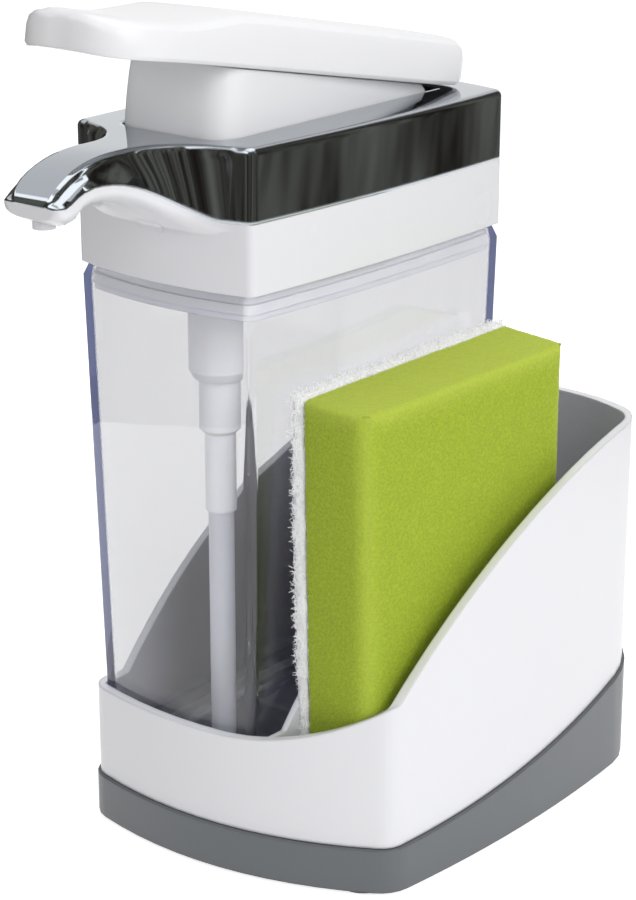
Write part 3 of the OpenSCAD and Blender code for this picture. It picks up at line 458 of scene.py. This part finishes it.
class SOAPCADDY_OT_finish_caddy(bpy.types.Operator):
    """Finish the white caddy and its grey base"""
    bl_idname = "soapcaddy.finish_caddy"
    bl_label = "Finish Caddy"

    def execute(self, context):
        finish = context.scene.soap_caddy_finish
        # The caddy's white is darkened to 0.6 of its colour in its hollows, as painted shade
        smoothed(moulded_abs("white_abs_satin", finish.white, 0.36, 0.5, 0.006, 0.9, 0.6), "caddy", "white_plastic",
                 "caddy_shell")
        smoothed(moulded_abs("grey_abs_satin", finish.grey, 0.46, 0.35, 0.010, 0.8), "caddy", "grey_plastic",
                 "base_skirt")
        dress(soft_rubber("grey_rubber_moulded", "#6A7072"), "base_feet")
        dress(zinc_steel("zinc_steel_plated", "#B9BCC0"), "base_screws")
        return {"FINISHED"}


class SOAPCADDY_OT_finish_bottle(bpy.types.Operator):
    """Finish the clear bottle and its gasket"""
    bl_idname = "soapcaddy.finish_bottle"
    bl_label = "Finish Bottle"

    def execute(self, context):
        smoothed(clear_styrene("clear_styrene_polished", "#E2E2E3", "#8088AC", "#707698", 10.0), "bottle",
                 "clear_plastic", "bottle")
        dress(soft_rubber("gasket_silicone_white", "#F0F0F2"), "bottle_gasket", "barrel_washer")
        return {"FINISHED"}


class SOAPCADDY_OT_finish_head(bpy.types.Operator):
    """Finish the collar, the chromed cover and the outlet"""
    bl_idname = "soapcaddy.finish_head"
    bl_label = "Finish Head"

    def execute(self, context):
        finish = context.scene.soap_caddy_finish
        smoothed(moulded_abs("white_abs_gloss", finish.white, 0.26, 0.6, 0.004, 0.4), "head", "white_plastic",
                 "collar", "spout_nozzle")
        smoothed(bright_chrome("chrome_plated_abs", finish.chrome), "head", "chrome_plating", "chrome_cover")
        web = spout_web(bpy.data.materials["white_abs_gloss"])
        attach(web, "head")
        dress(bpy.data.materials["zinc_steel_plated"], "cover_screws", "hinge_pin", "lever_screws")
        dress(milky_polypropylene("silicone_milky", "#DAD8D0", 0.35), "outlet_hose", "suction_valve",
              "delivery_valve")
        return {"FINISHED"}


class SOAPCADDY_OT_finish_pump(bpy.types.Operator):
    """Finish the pump and its dip tube"""
    bl_idname = "soapcaddy.finish_pump"
    bl_label = "Finish Pump"

    def execute(self, context):
        dress(milky_polypropylene("polypropylene_white", "#FAFAFB", 0.0), "pump_barrel", "gland_nut", "plunger")
        dress(milky_polypropylene("polyethylene_milky", "#E6E8EE", 0.12), "dip_tube")
        dress(soft_rubber("seal_rubber_moulded", "#35373A"), "piston_seal", "stem_wiper")
        smoothed(bpy.data.materials["zinc_steel_plated"], "head", "steel", "return_spring")
        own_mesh(bpy.data.objects["return_spring_smooth"])
        return {"FINISHED"}


class SOAPCADDY_OT_finish_lever(bpy.types.Operator):
    """Finish the push lever and its block"""
    bl_idname = "soapcaddy.finish_lever"
    bl_label = "Finish Lever"

    def execute(self, context):
        finish = context.scene.soap_caddy_finish
        # The lever gets a paler copy of the white moulding, as painted light that brightens its faces
        smoothed(moulded_abs("white_abs_lever_painted_light", "#F5F5F7", 0.3, 0.6, 0.004, 0.6), "lever", "white_plastic",
                 "lever_pad", "lever_block")
        low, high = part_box("lever_pad")
        square_nose(bpy.data.objects["lever_pad_smooth"], ((low.x + high.x) / 2, low.y + NOSE_LENGTH),
                    ((high.x - low.x) / 2, NOSE_LENGTH))
        return {"FINISHED"}


# --- Sponge ---

def rounded_box(low, high, step, edge, corner, bond):
    """A closed box of even squares with rounded edges, wider upright corners at high x and a bond at low x."""
    size = high - low
    counts = [max(2, round(s / step)) for s in size]
    shape = bmesh.new()
    found = {}

    def vert(key):
        if key not in found:
            found[key] = shape.verts.new([low[i] + size[i] * key[i] / counts[i] for i in range(3)])
        return found[key]

    for axis in range(3):
        a, b = (axis + 1) % 3, (axis + 2) % 3
        for side in (0, counts[axis]):
            for i in range(counts[a]):
                for j in range(counts[b]):
                    keys = []
                    for di, dj in ((0, 0), (1, 0), (1, 1), (0, 1)):
                        key = [0, 0, 0]
                        key[axis], key[a], key[b] = side, i + di, j + dj
                        keys.append(tuple(key))
                    if side == 0:
                        keys.reverse()
                    shape.faces.new([vert(k) for k in keys])
    for v in shape.verts:
        place = v.co
        bonded = place.x < (low.x + high.x) / 2
        radius = bond if bonded else corner
        core = Vector((min(max(place.x, low.x + radius), high.x - radius),
                       min(max(place.y, low.y + radius), high.y - radius), place.z))
        out = place - core
        if out.length > radius:
            place = core + out.normalized() * radius
        radii = Vector((bond if bonded else edge, edge, edge))
        inner = Vector([min(max(place[i], low[i] + radii[i]), high[i] - radii[i]) for i in range(3)])
        out = Vector([(place[i] - inner[i]) / radii[i] for i in range(3)])
        if out.length > 1:
            out.normalize()
            place = inner + Vector([out[i] * radii[i] for i in range(3)])
        v.co = place
    shape.normal_update()
    return shape


def pitted(shape, pore, depth, seed):
    """Sinks each point by how deep it lies in a cut cell of the foam."""
    moves = []
    for v in shape.verts:
        place = v.co / (pore * MM) + Vector((seed, 2.3 * seed, 5.1))
        near = noise.voronoi(place, distance_metric="DISTANCE")[0][0]
        wide = noise.noise(v.co / (9 * MM) + Vector((seed, 0, 0)))
        moves.append(v.normal * (depth * (near - 0.95) + 0.12 * MM * (wide - 0.6)))
    for v, move in zip(shape.verts, moves):
        v.co += move


def settled(shape):
    """Leans the standing sponge's front edge outwards and gives its cut top the slight skew of a used sponge."""
    low, high = SCOURER_BOX[0], FOAM_BOX[1]
    rise = {(0, 0): -0.2 * MM, (1, 0): -1.3 * MM, (0, 1): 1.5 * MM, (1, 1): -0.3 * MM}
    for v in shape.verts:
        across, along, up = ((v.co[i] - low[i]) / (high[i] - low[i]) for i in range(3))
        lift = sum(rise[i, j] * (across if i else 1 - across) * (along if j else 1 - along)
                   for i in (0, 1) for j in (0, 1))
        v.co.x -= (STAND + LEAN * up) * (1 - along)
        v.co.z += lift * up ** 3


def paint_edge_light(mesh, low, high, reach):
    """Keeps on each point a painted light: how near it is to one of the foam's free edges, where light comes through,
    and a painted highlight over the top face.
    """
    near = mesh.attributes.new("painted_edge_light", "FLOAT", "POINT")
    for v in mesh.vertices:
        gaps = sorted((high.x - v.co.x, v.co.y - low.y, high.y - v.co.y, v.co.z - low.z, high.z - v.co.z))
        # Painted highlight: the whole top face is made paler, as the overhead light falls on it
        painted_top_light = 0.8 if high.z - v.co.z < 0.6 * MM else 0.0
        near.data[v.index].value = max(painted_top_light, math.exp(-(max(0.0, gaps[1]) / reach) ** 2))


def pinched(piece):
    """Gives the lifted sponge a mesh of its own."""
    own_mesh(piece)


class SOAPCADDY_OT_make_foam(bpy.types.Operator):
    """Make the sponge's green foam block"""
    bl_idname = "soapcaddy.make_foam"
    bl_label = "Make Foam"

    def execute(self, context):
        sponge = context.scene.soap_caddy_sponge
        low, high = FOAM_BOX
        step = sponge.step
        shape = rounded_box(low, high, step, sponge.edge, sponge.corner, BOND)
        pitted(shape, 1.9 * sponge.pore, sponge.pit, 4.0)
        mesh = bpy.data.meshes.new("foam_block")
        shape.to_mesh(mesh)
        paint_edge_light(mesh, low, high, 3.2 * MM)
        settled(shape)
        for v, moved in zip(mesh.vertices, shape.verts):
            v.co = moved.co
        shape.free()
        mesh.shade_smooth()
        piece = mesh_piece("foam_block", mesh,
                           open_cell_foam("polyurethane_foam_open_cell",
                                          context.scene.soap_caddy_finish.green, sponge.pore))
        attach(piece, "sponge")
        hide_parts("sponge_foam")
        pinched(piece)
        return {"FINISHED"}


def fibre_tree(material):
    """Geometry nodes that scatter short bent fibres over a surface and keep the surface."""
    tree = bpy.data.node_groups.new("Scourer Fibres", "GeometryNodeTree")
    face = tree.interface
    face.new_socket("Geometry", in_out="INPUT", socket_type="NodeSocketGeometry")
    for name, kind, value in (("Density", "NodeSocketFloat", 400000.0), ("Length", "NodeSocketFloat", 2 * MM),
                              ("Radius", "NodeSocketFloat", 0.06 * MM), ("Seed", "NodeSocketInt", 3)):
        face.new_socket(name, in_out="INPUT", socket_type=kind).default_value = value
    face.new_socket("Geometry", in_out="OUTPUT", socket_type="NodeSocketGeometry")
    given = add(tree, "NodeGroupInput").outputs
    bend = {}
    for end, axis, part in (("Start", "X", -0.5), ("Middle", "Z", 0.35), ("End", "X", 0.5)):
        along = add(tree, "ShaderNodeMath", {"operation": "MULTIPLY", 1: part}, {0: given["Length"]})
        bend[end] = add(tree, "ShaderNodeCombineXYZ", links={axis: along.outputs["Value"]}).outputs["Vector"]
    curve = add(tree, "GeometryNodeCurveQuadraticBezier", {"Resolution": 4}, bend)
    ring = add(tree, "GeometryNodeCurvePrimitiveCircle", {"Resolution": 3}, {"Radius": given["Radius"]})
    fibre = add(tree, "GeometryNodeCurveToMesh", {"Fill Caps": True},
                {"Curve": curve.outputs["Curve"], "Profile Curve": ring.outputs["Curve"]})
    free = add(tree, "GeometryNodeInputNamedAttribute", {"data_type": "FLOAT", "Name": "free"})
    dense = add(tree, "ShaderNodeMath", {"operation": "MULTIPLY"},
                {0: given["Density"], 1: free.outputs["Attribute"]})
    points = add(tree, "GeometryNodeDistributePointsOnFaces",
                 links={"Mesh": given["Geometry"], "Density": dense.outputs["Value"], "Seed": given["Seed"]})
    turn = add(tree, "FunctionNodeRandomValue", {"data_type": "FLOAT_VECTOR"}, {"Seed": given["Seed"]})
    turn.inputs[1].default_value = (math.tau, math.tau, math.tau)
    grow = add(tree, "FunctionNodeRandomValue", {"data_type": "FLOAT"}, {"Seed": given["Seed"]})
    grow.inputs[2].default_value = 0.6
    grow.inputs[3].default_value = 1.3
    strands = add(tree, "GeometryNodeInstanceOnPoints",
                  links={"Points": points.outputs["Points"], "Instance": fibre.outputs["Mesh"],
                         "Rotation": turn.outputs["Value"], "Scale": grow.outputs[1]})
    real = add(tree, "GeometryNodeRealizeInstances", links={"Geometry": strands.outputs["Instances"]})
    finished = add(tree, "GeometryNodeSetMaterial", {"Material": material}, {"Geometry": real.outputs["Geometry"]})
    joined = add(tree, "GeometryNodeJoinGeometry")
    tree.links.new(finished.outputs["Geometry"], joined.inputs["Geometry"])
    tree.links.new(given["Geometry"], joined.inputs["Geometry"])
    add(tree, "NodeGroupOutput", links={"Geometry": joined.outputs["Geometry"]})
    return tree


def set_input(modifier, name, value):
    """Sets one of a geometry nodes modifier's inputs by its socket's identifier."""
    for item in modifier.node_group.interface.items_tree:
        if item.item_type == "SOCKET" and item.in_out == "INPUT" and item.name == name:
            modifier[item.identifier] = value


def divider_top(y):
    """Height under which the wall beside the scourer leaves its fibres no room."""
    arc_r, arc_y, arc_z = DIVIDER_ARC
    return arc_z + math.sqrt(arc_r ** 2 - (y - arc_y) ** 2) + 3 * MM


class SOAPCADDY_OT_make_scourer(bpy.types.Operator):
    """Make the sponge's white scouring layer with its loose fibres"""
    bl_idname = "soapcaddy.make_scourer"
    bl_label = "Make Scourer"

    def execute(self, context):
        sponge = context.scene.soap_caddy_sponge
        low, high = SCOURER_BOX
        shape = rounded_box(low, high, 1.2 * MM, 0.8 * MM, 0.4 * MM, 0.8 * MM)
        pitted(shape, 1.8, 0.5 * MM, 9.0)
        mesh = bpy.data.meshes.new("scourer_slab")
        shape.to_mesh(mesh)
        mesh.shade_smooth()
        free = mesh.attributes.new("free", "FLOAT", "POINT")
        for v in mesh.vertices:
            outer = v.co.x < low.x + 1.2 * MM
            edge = min(v.co.y - low.y, high.z - v.co.z) < 4 * MM
            if v.co.x > high.x - 0.1 * MM or v.co.z < low.z + 8 * MM:
                share = 0.0
            elif outer and v.co.z < divider_top(v.co.y):
                share = 0.0
            else:
                share = 1.0 if edge else 0.05
            free.data[v.index].value = share
        settled(shape)
        for v, moved in zip(mesh.vertices, shape.verts):
            v.co = moved.co
        shape.free()
        material = matted_nylon("nylon_fibre_matted", "#FDFDFD")
        slab = mesh_piece("scourer_slab", mesh, material)
        fuzz = slab.modifiers.new("Fibres", "NODES")
        fuzz.node_group = fibre_tree(nylon_thread("nylon_thread_drawn", "#FFFFFF"))
        set_input(fuzz, "Density", float(sponge.fibres))
        set_input(fuzz, "Length", sponge.fibre_length)
        set_input(fuzz, "Radius", sponge.fibre_radius)
        set_input(fuzz, "Seed", 3)
        context.view_layer.update()
        solid = bpy.data.meshes.new_from_object(slab.evaluated_get(context.evaluated_depsgraph_get()))
        bpy.data.objects.remove(slab)
        piece = bpy.data.objects.new("scourer_mat", solid)
        context.scene.collection.objects.link(piece)
        # Threads so thin hardly shade each other
        piece.visible_shadow = False
        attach(piece, "sponge")
        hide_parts("sponge_scourer")
        pinched(piece)
        return {"FINISHED"}


# --- Stage ---

def facing(place, target):
    """A turn that points an object's -Z from its place to a target."""
    return (Vector(target) - Vector(place)).to_track_quat("-Z", "Y").to_euler()


def softbox(name, place, target, size, power):
    """A square area light."""
    lamp = bpy.data.lights.new(name, "AREA")
    lamp.shape = "RECTANGLE"
    lamp.size = lamp.size_y = size
    lamp.energy = power
    box = bpy.data.objects.new(name, lamp)
    box.location = place
    box.rotation_euler = facing(place, target)
    bpy.context.scene.collection.objects.link(box)


def card(name, corners, material):
    """A flat stage card through its corners."""
    mesh = bpy.data.meshes.new(name)
    mesh.from_pydata([Vector(c) for c in corners], [], [range(len(corners))])
    piece = mesh_piece(name, mesh, material)


def floor_material(colour):
    """Matt white paper that also glows for the camera, so that it stays white round the object's shadow."""
    material, tree, output, _ = new_material("paper_white_matt")
    glow = add(tree, "ShaderNodeMath", {"operation": "MULTIPLY", 1: FLOOR_GLOW}, {0: seen_directly(tree)})
    paper = add(tree, "ShaderNodeBsdfDiffuse", {"Color": linear(colour)})
    light = add(tree, "ShaderNodeEmission", links={"Strength": glow.outputs["Value"]})
    both = add(tree, "ShaderNodeAddShader", links={0: paper.outputs["BSDF"], 1: light.outputs["Emission"]})
    tree.links.new(both.outputs["Shader"], output.inputs["Surface"])
    return material


def studio_cloth(name, scale, dark_to, pale_from):
    """Dark studio cloth hung in uneven strips, which the chrome mirrors as a dim room."""
    material, tree, output, place = new_material(name)
    strip = add(tree, "ShaderNodeMapping", {"Scale": (1.0, 1.0, 0.12)}, {"Vector": place})
    panels = add(tree, "ShaderNodeTexNoise", {"Scale": scale, "Detail": 4.0, "Roughness": 0.75},
                 {"Vector": strip.outputs["Vector"]})
    tone = add(tree, "ShaderNodeValToRGB", links={"Fac": panels.outputs["Fac"]})
    tone.color_ramp.elements[0].position = dark_to
    tone.color_ramp.elements[1].position = pale_from
    tone.color_ramp.elements[0].color = linear("#2C2824")
    tone.color_ramp.elements[1].color = linear("#7C7C74")
    ray = add(tree, "ShaderNodeLightPath")
    through = add(tree, "ShaderNodeMath", {"operation": "GREATER_THAN", 1: 0.5},
                  {0: ray.outputs["Transmission Depth"]})
    shade = add(tree, "ShaderNodeMix", {"data_type": "RGBA"}, {0: through.outputs["Value"]})
    tree.links.new(tone.outputs["Color"], shade.inputs[6])
    shade.inputs[7].default_value = (1, 1, 1, 1)
    cloth = add(tree, "ShaderNodeEmission", {"Strength": 1.0}, {"Color": shade.outputs[2]})
    tree.links.new(cloth.outputs["Emission"], output.inputs["Surface"])
    return material


def studio_lamp(name, strength):
    """The white face of a softbox, for reflections only."""
    material, tree, output, _ = new_material(name)
    glow = add(tree, "ShaderNodeEmission", {"Strength": strength})
    tree.links.new(glow.outputs["Emission"], output.inputs["Surface"])
    return material


def curved_flag(name, start, end, low, high, material, radius=SCREEN_RADIUS):
    """An upright curved screen round the object that only mirror reflections see."""
    steps = 24
    points, faces = [], []
    for i in range(steps + 1):
        turn = math.radians(start + (end - start) * i / steps)
        x, y = radius * math.sin(turn), -radius * math.cos(turn)
        points += [(x, y, low), (x, y, high)]
    for i in range(steps):
        faces.append((2 * i, 2 * i + 2, 2 * i + 3, 2 * i + 1))
    mesh = bpy.data.meshes.new(name)
    mesh.from_pydata(points, [], faces)
    screen = mesh_piece(name, mesh, material)
    screen.visible_camera = False
    screen.visible_diffuse = False
    screen.visible_transmission = False
    screen.visible_shadow = False


class SOAPCADDY_OT_make_stage(bpy.types.Operator):
    """Make the floor, the lights, the reflected cards and the camera"""
    bl_idname = "soapcaddy.make_stage"
    bl_label = "Make Stage"

    def execute(self, context):
        stage = context.scene.soap_caddy_stage
        scene = context.scene
        card("floor", [(x * FLOOR_REACH, y * FLOOR_REACH, 0) for x, y in ((-1, -1), (1, -1), (1, 1), (-1, 1))],
             floor_material(stage.floor))
        curved_flag("front_screen", -118, 24, 0.0, 0.31, studio_cloth("studio_cloth_front", 11.0, 0.42, 0.68))
        curved_flag("side_screen", 24, 178, 0.0, 0.62, studio_cloth("studio_cloth_side", 24.0, 0.40, 0.60))
        white = studio_lamp("studio_lamp_white", 2.4)
        curved_flag("front_lamp", -36, 23, 0.32, 0.54, white)
        curved_flag("side_lamp", 113, 116, 0.36, 0.60, white, SCREEN_RADIUS - 0.01)
        softbox("key", (1.0, -0.3, 0.72), (0, 0, 0.08), 0.8, stage.key)
        softbox("top", (0.0, 0.1, 1.0), (0, 0, 0), 0.9, stage.top)
        softbox("fill", (-0.8, -0.6, 0.45), (0, 0, 0.1), 0.6, stage.fill)
        world = bpy.data.worlds.new("studio")
        world.use_nodes = True
        tree = world.node_tree
        tree.nodes.clear()
        level = add(tree, "ShaderNodeMapRange", {"To Min": WORLD_LIGHT, "To Max": 1.0}, {"Value": seen_directly(tree)})
        sky = add(tree, "ShaderNodeBackground", {"Color": (1, 1, 1, 1)}, {"Strength": level.outputs["Result"]})
        add(tree, "ShaderNodeOutputWorld", links={"Surface": sky.outputs["Background"]})
        scene.world = world
        turn, rise = CAMERA_TURN, CAMERA_RISE
        back = Vector((math.sin(turn) * math.cos(rise), -math.cos(turn) * math.cos(rise), math.sin(rise)))
        lens = bpy.data.cameras.new("camera")
        lens.lens = stage.lens
        lens.sensor_width = 36.0
        camera = bpy.data.objects.new("camera", lens)
        camera.location = CAMERA_TARGET + back * CAMERA_DISTANCE
        camera.rotation_euler = facing(camera.location, CAMERA_TARGET)
        scene.collection.objects.link(camera)
        scene.camera = camera
        scene.view_settings.view_transform = "Standard"
        return {"FINISHED"}


class SOAPCADDY_PT_panel(bpy.types.Panel):
    bl_idname = "SOAPCADDY_PT_panel"
    bl_label = "Soap Caddy"
    bl_space_type = "VIEW_3D"
    bl_region_type = "UI"
    bl_category = "Soap Caddy"

    def draw(self, context):
        for operator in OPERATORS:
            self.layout.operator(operator.bl_idname)


OPERATORS = (SOAPCADDY_OT_finish_caddy, SOAPCADDY_OT_finish_bottle, SOAPCADDY_OT_finish_head,
             SOAPCADDY_OT_finish_pump, SOAPCADDY_OT_finish_lever, SOAPCADDY_OT_make_foam,
             SOAPCADDY_OT_make_scourer, SOAPCADDY_OT_make_stage)
CLASSES = (SoapCaddyFinish, SoapCaddySponge, SoapCaddyStage, *OPERATORS, SOAPCADDY_PT_panel)


def register():
    for item in CLASSES:
        bpy.utils.register_class(item)
    bpy.types.Scene.soap_caddy_finish = PointerProperty(type=SoapCaddyFinish)
    bpy.types.Scene.soap_caddy_sponge = PointerProperty(type=SoapCaddySponge)
    bpy.types.Scene.soap_caddy_stage = PointerProperty(type=SoapCaddyStage)


def unregister():
    del bpy.types.Scene.soap_caddy_stage
    del bpy.types.Scene.soap_caddy_sponge
    del bpy.types.Scene.soap_caddy_finish
    for item in reversed(CLASSES):
        bpy.utils.unregister_class(item)


def main():
    register()
    bpy.ops.soapcaddy.finish_caddy()
    bpy.ops.soapcaddy.finish_bottle()
    bpy.ops.soapcaddy.finish_head()
    bpy.ops.soapcaddy.finish_pump()
    bpy.ops.soapcaddy.finish_lever()
    bpy.ops.soapcaddy.make_foam()
    bpy.ops.soapcaddy.make_scourer()
    bpy.ops.soapcaddy.make_stage()


if __name__ == "__main__":
    main()
